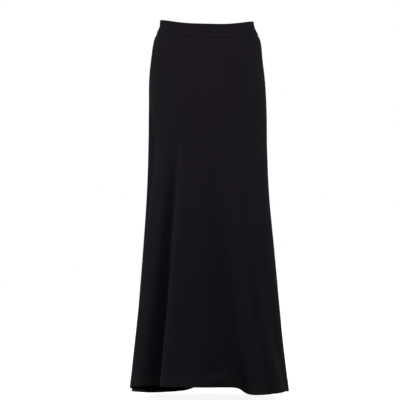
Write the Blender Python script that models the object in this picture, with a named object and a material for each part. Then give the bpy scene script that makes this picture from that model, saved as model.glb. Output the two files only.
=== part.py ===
"""Floor-length A-line skirt in black jersey, in the hollow shape that it has when worn.

Metres, +Z up, the front of the skirt towards -Y. The origin is the middle of the waist, half
way up the waistband at its sides, which is where a wearer holds the skirt up.

The skirt is sewn from three pieces: a waistband, a front panel and a back panel. All three
lie on one outer face, worked out from the sections, folds and hem levels below.
"""

import math
from typing import NamedTuple

import bmesh
import bpy
from mathutils import Vector

# ---------------------------------------------------------------- driving sizes
BAND_HEIGHT = 0.038
BAND_THICK = 0.003  # the cloth doubled over an elastic
BAND_ROUND = 0.0012  # the rounding of the folded top edge
BAND_PROUD = 0.0005  # how far the band stands out from the panels
CLOTH_THICK = 0.0016
HEM_THICK = 0.0028  # the cloth turned up inside
HEM_TURN = 0.028
HEM_STEP = 0.004  # the height over which the turned-up edge thins out
SEAM_GAP = 0.0003
SIDE_DROP = 0.998  # from the middle of the waist down to the hem at the right side
PANEL_LENGTH = SIDE_DROP - BAND_HEIGHT / 2

FRONT_DIP = 0.0145  # the waist is lower at the front than at the sides
BACK_DIP = 0.004
SIDE_TILT = 0.002  # the waist is higher at the left, and lower at the right
SQUARENESS = 2.2  # 2 is an ellipse, more is squarer

# ---------------------------------------------------------------- mesh density
PANEL_ROWS = 28  # down to the turned-up hem
ROW_CROWDING = 1.18  # over 1 puts the rows closer together over the hips
FRONT_COLUMNS = 54
BACK_COLUMNS = 44
BAND_COLUMNS = 84
TURN_WEIGHT = 0.07  # metres of hem that one radian of turning counts for
HEM_SAMPLES = 1440
SLOPE_STEP = 0.003  # the angle, or the share of a height, over which slopes are measured


class Section(NamedTuple):
    """Half sizes of the skirt at one level, measured from the waist's middle axis."""

    name: str
    drop: float
    left: float
    right: float
    front: float
    back: float


SECTIONS = (
    Section("band top", -0.019, 0.1280, 0.1262, 0.0880, 0.0860),
    Section("waist", 0.000, 0.1292, 0.1298, 0.0905, 0.0890),
    Section("band bottom", 0.019, 0.1380, 0.1395, 0.0970, 0.0985),
    Section("under the band", 0.040, 0.1457, 0.1468, 0.1035, 0.1070),
    Section("high hip", 0.087, 0.1527, 0.1515, 0.1090, 0.1180),
    Section("hip", 0.150, 0.1590, 0.1585, 0.1130, 0.1280),
    Section("seat", 0.230, 0.1600, 0.1625, 0.1150, 0.1340),
    Section("thigh", 0.330, 0.1595, 0.1638, 0.1190, 0.1370),
    Section("above the knee", 0.460, 0.1635, 0.1695, 0.1260, 0.1420),
    Section("knee", 0.615, 0.1735, 0.1840, 0.1360, 0.1530),
    Section("calf", 0.790, 0.1870, 0.2000, 0.1490, 0.1690),
    Section("ankle", 0.880, 0.1940, 0.2092, 0.1570, 0.1790),
    Section("hem", 0.998, 0.2030, 0.2235, 0.1660, 0.1900),
)


class Fold(NamedTuple):
    """A soft fold that runs down the skirt. Angles are degrees round the skirt, where 0 is
    the right side seam, 90 the back, 180 the left side seam and 270 the front.

    The fold grows from nothing at the start drop to full_depth at the full drop, then evenly
    to hem_depth. Depths are outwards, so a valley's are negative. It swings from top_angle to
    hem_angle, early on its way down if lateness is under 1 and late if it is over 1. before
    and after are its half widths on the side of the smaller and of the larger angle.
    """

    name: str
    start: float
    full: float
    top_angle: float
    hem_angle: float
    lateness: float
    full_depth: float
    hem_depth: float
    before: float
    after: float


FOLDS = (
    # the deep fold at the left of the front, and the sharp edge of the cloth in front of it
    Fold("deep valley", 0.18, 0.60, 238, 219.5, 0.55, -0.026, -0.051, 13, 9),
    Fold("edge beside the valley", 0.26, 0.62, 250, 231.5, 0.55, 0.007, 0.007, 8, 17),
    Fold("left flare", 0.26, 0.66, 203, 199, 1.0, 0.014, 0.017, 16, 18),
    # the left side, pressed in beside the hip, with the back bulging out behind it
    Fold("left side hollow", 0.10, 0.30, 204, 200, 1.0, -0.013, 0.000, 34, 34),
    Fold("left side crease", 0.16, 0.34, 187, 182, 1.0, -0.015, -0.030, 13, 11),
    Fold("left back bulge", 0.15, 0.36, 166, 162, 1.0, 0.005, 0.011, 17, 17),
    # the front slopes back to the soft folds at its right
    Fold("front slope", 0.45, 0.84, 294, 306, 2.0, -0.026, -0.026, 60, 14),
    Fold("right valley", 0.12, 0.62, 285, 310, 2.6, -0.013, -0.008, 26, 12),
    Fold("right ridge", 0.26, 0.62, 309, 326, 3.0, 0.016, 0.026, 14, 20),
    Fold("right hem valley", 0.84, 0.97, 310, 316, 1.0, -0.005, -0.008, 13, 9),
    Fold("right hem ridge", 0.78, 0.95, 316, 319, 1.0, 0.005, 0.008, 8, 6),
    # the fullness at the back
    Fold("right back valley", 0.34, 0.66, 22, 18, 1.0, -0.008, -0.024, 15, 15),
    Fold("right back ridge", 0.30, 0.66, 42, 38, 1.0, 0.006, 0.014, 14, 13),
    Fold("back right valley", 0.42, 0.70, 64, 62, 1.0, -0.010, -0.030, 16, 12),
    Fold("back ridge", 0.36, 0.70, 86, 84, 1.0, 0.006, 0.012, 14, 15),
    Fold("back left valley", 0.38, 0.66, 108, 110, 1.0, -0.012, -0.034, 13, 17),
    Fold("left back ridge", 0.32, 0.66, 130, 133, 1.0, 0.005, 0.012, 13, 13),
    Fold("left back valley", 0.46, 0.74, 149, 148, 1.0, -0.004, -0.012, 10, 9),
)


class HemLevel(NamedTuple):
    """How far the hem hangs above (+) or below (-) SIDE_DROP at an angle."""

    name: str
    angle: float
    rise: float


HEM_LEVELS = (
    HemLevel("right side", 0, 0.003),
    HemLevel("back right", 45, 0.002),
    HemLevel("back", 88, 0.001),
    HemLevel("back left valley", 106, -0.007),
    HemLevel("left back ridge", 128, -0.0165),
    HemLevel("left back valley", 146, -0.012),
    HemLevel("left back bulge", 164, -0.004),
    HemLevel("left side crease", 181, 0.004),
    HemLevel("left flare", 203, 0.023),
    HemLevel("edge beside the valley", 232, 0.028),
    HemLevel("front", 268, 0.0265),
    HemLevel("beside the right valley", 286, 0.0255),
    HemLevel("right valley", 300, 0.0215),
    HemLevel("right ridge", 312, 0.0035),
    HemLevel("beyond the right ridge", 322, 0.008),
    HemLevel("right of the front", 336, 0.009),
)

CLOTH_COLOUR = (0.0095, 0.0085, 0.0105, 1.0)
CLOTH_ROUGHNESS = 0.9


# ---------------------------------------------------------------- curves through tables
def smooth_value(keys, values, at):
    """The height at a key of a smooth curve through the given points."""
    if at <= keys[0]:
        return values[0]
    if at >= keys[-1]:
        return values[-1]
    i = max(n for n in range(len(keys) - 1) if keys[n] <= at)

    def slope(n):
        low, high = max(n - 1, 0), min(n + 1, len(keys) - 1)
        return (values[high] - values[low]) / (keys[high] - keys[low])

    width = keys[i + 1] - keys[i]
    t = (at - keys[i]) / width
    return (
        values[i] * (2 * t**3 - 3 * t**2 + 1)
        + slope(i) * width * (t**3 - 2 * t**2 + t)
        + values[i + 1] * (3 * t**2 - 2 * t**3)
        + slope(i + 1) * width * (t**3 - t**2)
    )


def section_size(column, drop):
    """One half size of the skirt at a drop below the waist's middle."""
    keys = [section.drop for section in SECTIONS]
    return smooth_value(keys, [getattr(section, column) for section in SECTIONS], drop)


def ease(t):
    """0 up to t = 0, 1 from t = 1, and smooth between them."""
    t = min(1.0, max(0.0, t))
    return t * t * (3 - 2 * t)


# ---------------------------------------------------------------- the outer face
def waist_level(angle):
    """Height of the band's middle, which dips at the front and a little at the back."""
    sideways = math.cos(angle)
    dip = FRONT_DIP if math.sin(angle) < 0 else BACK_DIP
    return -dip * (1 - sideways**4) - SIDE_TILT * sideways


def hem_level(angle):
    """Height of the hem round the skirt."""
    turn = math.degrees(angle) % 360
    keys = [row.angle + lap for lap in (-360, 0, 360) for row in HEM_LEVELS]
    rises = [row.rise for row in HEM_LEVELS] * 3
    return -SIDE_DROP + smooth_value(keys, rises, turn)


def fold_depth(fold, angle, drop):
    """How far one fold moves the cloth outwards at an angle and a drop."""
    if drop <= fold.start:
        return 0.0
    share = (drop - fold.full) / (SIDE_DROP - fold.full)
    if share < 0:
        depth = fold.full_depth * ease((drop - fold.start) / (fold.full - fold.start))
    else:
        depth = fold.full_depth + share * (fold.hem_depth - fold.full_depth)
    run = (drop - fold.start) / (SIDE_DROP - fold.start)
    centre = fold.top_angle + run**fold.lateness * (fold.hem_angle - fold.top_angle)
    away = (math.degrees(angle) - centre + 180) % 360 - 180
    width = fold.after if away > 0 else fold.before
    return depth * (1 - ease(abs(away) / width))


def radius(angle, drop):
    """Distance from the middle axis to the smooth body of the skirt, before its folds."""
    x, y = math.cos(angle), math.sin(angle)
    wide = section_size("right" if x > 0 else "left", drop)
    deep = section_size("back" if y > 0 else "front", drop)
    total = abs(x / wide) ** SQUARENESS + abs(y / deep) ** SQUARENESS
    return total ** (-1 / SQUARENESS)


def outline(angle, drop):
    """The skirt's outline at a drop, seen from above: a point at an angle, with its folds."""
    ahead = angle + SLOPE_STEP
    here = radius(angle, drop) * Vector((math.cos(angle), math.sin(angle)))
    along = radius(ahead, drop) * Vector((math.cos(ahead), math.sin(ahead))) - here
    out = Vector((along.y, -along.x)).normalized()
    return here + out * sum(fold_depth(fold, angle, drop) for fold in FOLDS)


def band_point(angle, share):
    """A point on the band's outer face: share 0 at its top edge, 1 at its seam."""
    drop = BAND_HEIGHT * (share - 0.5)
    flat = outline(angle, drop)
    return Vector((flat.x, flat.y, waist_level(angle) - drop))


def panel_point(angle, share):
    """A point on a panel's outer face: share 0 at the waist seam, 1 at the hem."""
    flat = outline(angle, BAND_HEIGHT / 2 + share * PANEL_LENGTH)
    top = waist_level(angle) - BAND_HEIGHT / 2 - SEAM_GAP
    return Vector((flat.x, flat.y, top + share * (hem_level(angle) - top)))


def outwards(face, angle, share):
    """The direction out of a face, which is band_point or panel_point, at one of its points."""
    round_it = face(angle + SLOPE_STEP, share) - face(angle - SLOPE_STEP, share)
    down_it = face(angle, share + SLOPE_STEP) - face(angle, share - SLOPE_STEP)
    return down_it.cross(round_it).normalized()


# ---------------------------------------------------------------- rows and columns
def panel_shares():
    """The rows of a panel, closer together over the hips and at the turned-up hem."""
    turn = 1 - HEM_TURN / PANEL_LENGTH
    above_turn = turn - HEM_STEP / PANEL_LENGTH
    body = [above_turn * (n / PANEL_ROWS) ** ROW_CROWDING for n in range(PANEL_ROWS + 1)]
    return body + [turn, 1.0]


def column_angles(start, stop, count):
    """Angles from start to stop that share out the hem's length and its turns evenly."""
    fine = [start + (stop - start) * n / HEM_SAMPLES for n in range(HEM_SAMPLES + 1)]
    points = [outline(angle, SIDE_DROP) for angle in fine]
    totals = [0.0]
    for n in range(1, len(points)):
        length = (points[n] - points[n - 1]).length
        turned = 0.0
        if n + 1 < len(points):
            turned = (points[n + 1] - points[n]).angle(points[n] - points[n - 1])
        totals.append(totals[-1] + length + TURN_WEIGHT * turned)
    angles = []
    at = 0
    for n in range(count + 1):
        wanted = totals[-1] * n / count
        while at < HEM_SAMPLES - 1 and totals[at + 1] < wanted:
            at += 1
        part = (wanted - totals[at]) / (totals[at + 1] - totals[at])
        angles.append(fine[at] + min(1.0, part) * (fine[at + 1] - fine[at]))
    return angles


# ---------------------------------------------------------------- meshes
def add_strip(mesh, first, second, closed=False):
    """Faces between two rows of corners, which are rings if closed."""
    count = len(first)
    for n in range(count if closed else count - 1):
        m = (n + 1) % count
        mesh.faces.new((first[n], first[m], second[m], second[n]))


def finished(mesh, name, material, parent):
    """The mesh as a smooth-shaded object with its material, under its parent."""
    bmesh.ops.recalc_face_normals(mesh, faces=mesh.faces)
    data = bpy.data.meshes.new(name)
    mesh.to_mesh(data)
    mesh.free()
    data.shade_smooth()
    data.set_sharp_from_angle(angle=math.radians(50))
    data.materials.append(material)
    piece = bpy.data.objects.new(name, data)
    piece.parent = parent
    bpy.context.scene.collection.objects.link(piece)
    return piece


def cloth_wall(share):
    """A panel's thickness at a share of its length: double where the hem is turned up."""
    below_turn = share * PANEL_LENGTH - (PANEL_LENGTH - HEM_TURN - HEM_STEP)
    return CLOTH_THICK + (HEM_THICK - CLOTH_THICK) * ease(below_turn / HEM_STEP)


def make_panel(name, start, stop, columns, material, parent):
    """A panel between two side seams, as a wall with the cloth's thickness."""
    half_gap = SEAM_GAP / 2 / section_size("left", BAND_HEIGHT / 2)
    angles = column_angles(start + half_gap, stop - half_gap, columns)
    mesh = bmesh.new()
    outer, inner = [], []
    for share in panel_shares():
        faces = [panel_point(angle, share) for angle in angles]
        backs = [
            point - outwards(panel_point, angle, share) * cloth_wall(share)
            for point, angle in zip(faces, angles)
        ]
        outer.append([mesh.verts.new(point) for point in faces])
        inner.append([mesh.verts.new(point) for point in backs])
    for n in range(len(outer) - 1):
        add_strip(mesh, outer[n], outer[n + 1])
        add_strip(mesh, inner[n], inner[n + 1])
    for end in (0, -1):
        add_strip(mesh, outer[end], inner[end])
        add_strip(mesh, [row[end] for row in outer], [row[end] for row in inner])
    return finished(mesh, name, material, parent)


def band_profile():
    """Corners round the band's cross-section: (share of its height, depth into the wall)."""
    under_fold = BAND_ROUND / BAND_HEIGHT
    return (
        (1.0, 0.0),
        (0.5, -BAND_PROUD),
        (under_fold, 0.0),
        (0.0, BAND_ROUND),
        (0.0, BAND_THICK - BAND_ROUND),
        (under_fold, BAND_THICK),
        (0.5, BAND_THICK + BAND_PROUD),
        (1.0, BAND_THICK),
    )


def make_waistband(material, parent):
    """The waistband: a closed ring, slightly plump between its seam and its folded top."""
    mesh = bmesh.new()
    angles = [math.tau * n / BAND_COLUMNS for n in range(BAND_COLUMNS)]
    rings = []
    for share, depth in band_profile():
        ring = [
            band_point(angle, share) + outwards(band_point, angle, share) * (BAND_PROUD - depth)
            for angle in angles
        ]
        rings.append([mesh.verts.new(point) for point in ring])
    for n, ring in enumerate(rings):
        add_strip(mesh, ring, rings[(n + 1) % len(rings)], closed=True)
    return finished(mesh, "waistband", material, parent)


def jersey(name):
    """Black jersey: matt, with no metal in it."""
    material = bpy.data.materials.new(name)
    material.use_nodes = True
    shader = material.node_tree.nodes["Principled BSDF"]
    shader.inputs["Base Color"].default_value = CLOTH_COLOUR
    shader.inputs["Roughness"].default_value = CLOTH_ROUGHNESS
    shader.inputs["Metallic"].default_value = 0.0
    return material


def main():
    """Clears the scene and makes the skirt's pieces."""
    for obj in list(bpy.data.objects):
        bpy.data.objects.remove(obj)
    waist = bpy.data.objects.new("waist", None)
    bpy.context.scene.collection.objects.link(waist)
    make_waistband(jersey("band_jersey"), waist)
    make_panel("back_panel", 0.0, math.pi, BACK_COLUMNS, jersey("back_jersey"), waist)
    make_panel("front_panel", math.pi, math.tau, FRONT_COLUMNS, jersey("front_jersey"), waist)


if __name__ == "__main__":
    main()
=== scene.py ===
"""Black jersey maxi skirt, dressed as it looks when worn.

The skirt hangs hollow, +Z up and its front towards -Y, with the origin in the middle of the
waist. Its three cut pieces are thin cloth laid on one worn form: a waistband folded double with
room for its elastic, a front panel and a back panel, each with its hem turned up. Outside, the
sewing shows as pressed-in seams and a blind hem. Inside, it shows as overlocked edges.
"""

import logging
import math
from collections.abc import Callable
from dataclasses import dataclass
from enum import Enum
from functools import partial

import bmesh
import bpy
import numpy as np
from bpy.types import Material, Node, NodeSocket, NodeTree, Object
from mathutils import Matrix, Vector

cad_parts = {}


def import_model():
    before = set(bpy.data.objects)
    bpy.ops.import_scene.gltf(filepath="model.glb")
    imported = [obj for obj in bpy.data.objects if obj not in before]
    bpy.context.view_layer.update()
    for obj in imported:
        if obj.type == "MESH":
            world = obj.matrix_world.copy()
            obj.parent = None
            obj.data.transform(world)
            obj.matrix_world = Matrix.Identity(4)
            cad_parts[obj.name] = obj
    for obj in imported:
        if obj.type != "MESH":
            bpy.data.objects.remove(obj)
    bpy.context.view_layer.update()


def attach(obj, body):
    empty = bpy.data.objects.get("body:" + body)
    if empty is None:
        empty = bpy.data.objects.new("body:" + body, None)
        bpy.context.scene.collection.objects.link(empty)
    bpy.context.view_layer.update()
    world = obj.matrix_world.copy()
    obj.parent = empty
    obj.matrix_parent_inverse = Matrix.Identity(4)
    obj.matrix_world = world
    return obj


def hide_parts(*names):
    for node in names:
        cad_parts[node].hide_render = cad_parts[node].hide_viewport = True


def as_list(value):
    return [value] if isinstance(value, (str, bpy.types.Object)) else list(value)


Array = np.ndarray

LOG = logging.getLogger("maxi_skirt")
MM = 0.001
BODY = "root"
CLOTH_UV = "cloth"
HEM_MM = 28.0  # the height of the turned-up hem
CATCH_MM = 9.0  # from one catch of the blind hem to the next


# ---------------------------------------------------------------- the worn form's tables
@dataclass(frozen=True)
class Section:
    """Half sizes of the skirt at one level, measured from the waist's middle axis."""

    name: str
    drop: float
    left: float
    right: float
    front: float
    back: float


SECTIONS = (
    Section("band top", -0.019, 0.1280, 0.1262, 0.0880, 0.0860),
    Section("waist", 0.000, 0.1292, 0.1298, 0.0905, 0.0890),
    Section("band bottom", 0.019, 0.1380, 0.1395, 0.0970, 0.0985),
    Section("under the band", 0.040, 0.1457, 0.1468, 0.1035, 0.1070),
    Section("high hip", 0.087, 0.1527, 0.1515, 0.1090, 0.1180),
    Section("hip", 0.150, 0.1590, 0.1585, 0.1130, 0.1280),
    Section("seat", 0.230, 0.1600, 0.1625, 0.1150, 0.1340),
    Section("thigh", 0.330, 0.1595, 0.1638, 0.1190, 0.1370),
    Section("above the knee", 0.460, 0.1635, 0.1695, 0.1260, 0.1420),
    Section("knee", 0.615, 0.1735, 0.1840, 0.1360, 0.1530),
    Section("calf", 0.790, 0.1870, 0.2000, 0.1490, 0.1690),
    Section("ankle", 0.880, 0.1940, 0.2092, 0.1570, 0.1790),
    Section("hem", 0.998, 0.2030, 0.2235, 0.1660, 0.1900),
)


@dataclass(frozen=True)
class Fold:
    """A soft fold that runs down the skirt. Angles are degrees round the skirt, where 0 is
    the right side seam, 90 the back, 180 the left side seam and 270 the front.

    The fold grows from nothing at the start drop to full_depth at the full drop, then evenly
    to hem_depth. Depths are outwards, so a valley's are negative. It swings from top_angle to
    hem_angle, early on its way down if lateness is under 1 and late if it is over 1. before
    and after are its half widths on the side of the smaller and of the larger angle.
    """

    name: str
    start: float
    full: float
    top_angle: float
    hem_angle: float
    lateness: float
    full_depth: float
    hem_depth: float
    before: float
    after: float


FOLDS = (
    # the deep fold at the left of the front, and the sharp edge of the cloth in front of it
    Fold("deep valley", 0.18, 0.60, 238, 219.5, 0.55, -0.026, -0.051, 13, 9),
    Fold("edge beside the valley", 0.26, 0.62, 250, 231.5, 0.55, 0.007, 0.007, 8, 17),
    Fold("left flare", 0.26, 0.66, 203, 199, 1.0, 0.014, 0.017, 16, 18),
    # the left side, pressed in beside the hip, with the back bulging out behind it
    Fold("left side hollow", 0.10, 0.30, 204, 200, 1.0, -0.013, 0.000, 34, 34),
    Fold("left side crease", 0.16, 0.34, 187, 182, 1.0, -0.015, -0.030, 13, 11),
    Fold("left back bulge", 0.15, 0.36, 166, 162, 1.0, 0.005, 0.011, 17, 17),
    # the front slopes back to the soft folds at its right
    Fold("front slope", 0.45, 0.84, 294, 306, 2.0, -0.026, -0.026, 60, 14),
    Fold("right valley", 0.12, 0.62, 285, 310, 2.6, -0.013, -0.008, 26, 12),
    Fold("right ridge", 0.26, 0.62, 309, 326, 3.0, 0.016, 0.026, 14, 20),
    Fold("right hem valley", 0.84, 0.97, 310, 316, 1.0, -0.005, -0.008, 13, 9),
    Fold("right hem ridge", 0.78, 0.95, 316, 319, 1.0, 0.005, 0.008, 8, 6),
    # the fullness at the back
    Fold("right back valley", 0.34, 0.66, 22, 18, 1.0, -0.008, -0.024, 15, 15),
    Fold("right back ridge", 0.30, 0.66, 42, 38, 1.0, 0.006, 0.014, 14, 13),
    Fold("back right valley", 0.42, 0.70, 64, 62, 1.0, -0.010, -0.030, 16, 12),
    Fold("back ridge", 0.36, 0.70, 86, 84, 1.0, 0.006, 0.012, 14, 15),
    Fold("back left valley", 0.38, 0.66, 108, 110, 1.0, -0.012, -0.034, 13, 17),
    Fold("left back ridge", 0.32, 0.66, 130, 133, 1.0, 0.005, 0.012, 13, 13),
    Fold("left back valley", 0.46, 0.74, 149, 148, 1.0, -0.004, -0.012, 10, 9),
)


@dataclass(frozen=True)
class Crease:
    """A short soft ridge (+ depth) or trough (- depth) in the cloth.

    Its middle is at an angle in degrees and a drop. length and width are its full sizes, and
    lean is how many degrees it leans from upright, where a lying crease leans 90. Its lower
    end leans towards the larger angles. upper is the share of its width on its upper side.
    """

    name: str
    angle: float
    drop: float
    length: float
    width: float
    lean: float
    depth: float
    upper: float = 0.5


CREASES = (
    # where the blind stitches draw the front hem in, and it kicks out below them
    Crease("above the front hem", 276.6, 0.9600, 0.086, 0.080, 90, -0.0070, 0.79),
    Crease("front hem kick", 276.6, 0.9770, 0.086, 0.045, 90, 0.0060, 0.38),
    # the soft fold at the right has a crisper edge and a deeper hollow near the hem
    Crease("edge of the right fold", 317, 0.945, 0.300, 0.034, 10, 0.0045, 0.35),
    Crease("hollow beside its edge", 309, 0.968, 0.120, 0.050, 10, -0.0045),
    # slack in the front over the hips and thighs
    Crease("left of the front, high", 252, 0.250, 0.260, 0.030, 2, -0.0010),
    Crease("middle of the front", 268, 0.330, 0.420, 0.036, -1, 0.0009),
    Crease("front thigh trough", 276, 0.450, 0.380, 0.040, 4, -0.0014),
    Crease("right of the front, high", 300, 0.300, 0.300, 0.034, 3, 0.0010),
    Crease("drag from the left hip", 214, 0.170, 0.110, 0.022, 48, -0.0012),
    Crease("drag below the left hip", 210, 0.215, 0.120, 0.026, 40, 0.0012),
    Crease("drag from the right hip", 331, 0.185, 0.100, 0.024, -42, -0.0010),
    # the same at the back, where the seat pushes the cloth out
    Crease("under the left seat", 112, 0.300, 0.120, 0.030, 68, -0.0014),
    Crease("under the right seat", 70, 0.315, 0.110, 0.028, -64, -0.0012),
    Crease("middle of the back", 92, 0.420, 0.340, 0.036, 1, -0.0014),
    Crease("left of the back", 124, 0.520, 0.300, 0.032, 2, 0.0011),
    Crease("right of the back", 52, 0.500, 0.330, 0.034, -2, 0.0011),
)


@dataclass(frozen=True)
class HemLevel:
    """How far the hem hangs above (+) or below (-) the side drop at an angle in degrees."""

    name: str
    angle: float
    rise: float


HEM_LEVELS = (
    HemLevel("right side", 0, 0.003),
    HemLevel("back right", 45, 0.002),
    HemLevel("back", 88, 0.001),
    HemLevel("back left valley", 106, -0.007),
    HemLevel("left back ridge", 128, -0.0165),
    HemLevel("left back valley", 146, -0.012),
    HemLevel("left back bulge", 164, -0.004),
    HemLevel("left side crease", 181, 0.004),
    HemLevel("left flare", 203, 0.023),
    HemLevel("edge beside the valley", 232, 0.028),
    HemLevel("front", 268, 0.0265),
    HemLevel("beside the right valley", 286, 0.0255),
    HemLevel("right valley", 300, 0.0215),
    HemLevel("right ridge", 312, 0.0035),
    HemLevel("beyond the right ridge", 322, 0.008),
    HemLevel("right of the front", 336, 0.009),
)


# ---------------------------------------------------------------- curves
def ease(t: Array) -> Array:
    """0 up to t = 0, 1 from t = 1, and smooth between them."""
    t = np.clip(t, 0.0, 1.0)
    return t * t * (3 - 2 * t)


def smooth_curve(keys: Array, values: Array, at: Array) -> Array:
    """Runs a smooth curve through the given points, by cubic Hermite pieces.

    Args:
        keys: where the points are, rising.
        values: the points' heights.
        at: where the curve is wanted.

    Returns:
        The curve's height at each place of at.
    """
    last = len(keys) - 1
    low = np.maximum(np.arange(last + 1) - 1, 0)
    high = np.minimum(np.arange(last + 1) + 1, last)
    slopes = (values[high] - values[low]) / (keys[high] - keys[low])
    at = np.clip(at, keys[0], keys[-1])
    i = np.clip(np.searchsorted(keys, at, side="right") - 1, 0, last - 1)
    width = keys[i + 1] - keys[i]
    t = (at - keys[i]) / width
    return (
        values[i] * (2 * t**3 - 3 * t**2 + 1)
        + slopes[i] * width * (t**3 - 2 * t**2 + t)
        + values[i + 1] * (3 * t**2 - 2 * t**3)
        + slopes[i + 1] * width * (t**3 - t**2)
    )


def uneven_waves(along: Array, length: float, shift: float) -> Array:
    """Adds two waves that never fall into step, so that no two humps are alike.

    Args:
        along: distances along the waves.
        length: the length of the shorter wave.
        shift: the start of the longer wave, in radians.

    Returns:
        Heights from -1 to 1.
    """
    short_share, long_share, slower = 0.6, 0.4, 0.618
    phase = math.tau * along / length
    return short_share * np.sin(phase) + long_share * np.sin(slower * phase + shift)


def running_total(steps: Array) -> Array:
    """The sum of the steps before each station, from 0 at the first."""
    return np.concatenate([[0.0], np.cumsum(steps)])


def unit(vectors: Array) -> Array:
    """The same directions with a length of 1."""
    return vectors / np.linalg.norm(vectors, axis=-1, keepdims=True)


def degrees_past(angles: Array, centre: Array | float) -> Array:
    """How far angles in radians lie past a centre in degrees, the short way round."""
    return (np.degrees(angles) - centre + 180) % 360 - 180


def raised(flat: Array, heights: Array) -> Array:
    """Points with the x and y of flat ones and the given heights."""
    return np.concatenate([flat, heights[..., None]], axis=-1)


def join_spans(*spans: tuple[float, float, int]) -> Array:
    """Stations along spans that join, each given by its start, its end and its steps."""
    parts = [np.linspace(start, end, steps + 1)[:-1] for start, end, steps in spans]
    return np.concatenate([*parts, [spans[-1][1]]])


def between(rows: Array, stations: Array) -> Array:
    """Reads rows of values at row numbers that may have fractions."""
    numbers = np.arange(len(rows))
    return np.stack([np.interp(stations, numbers, column) for column in rows.T], axis=-1)


def stations_along(path: Array, step: float) -> Array:
    """Finds positions along a line that are one step apart.

    Args:
        path: the line's points.
        step: the distance between positions, which is rounded so that it fits the line.

    Returns:
        The positions as numbers of the line's points, with fractions.
    """
    totals = running_total(np.linalg.norm(np.diff(path, axis=0), axis=1))
    count = 2 * max(1, round(totals[-1] / step / 2))
    return np.interp(np.linspace(0, totals[-1], count + 1), totals, np.arange(len(path)))


# ---------------------------------------------------------------- the worn form
Face = Callable[[Array, Array], Array]


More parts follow.
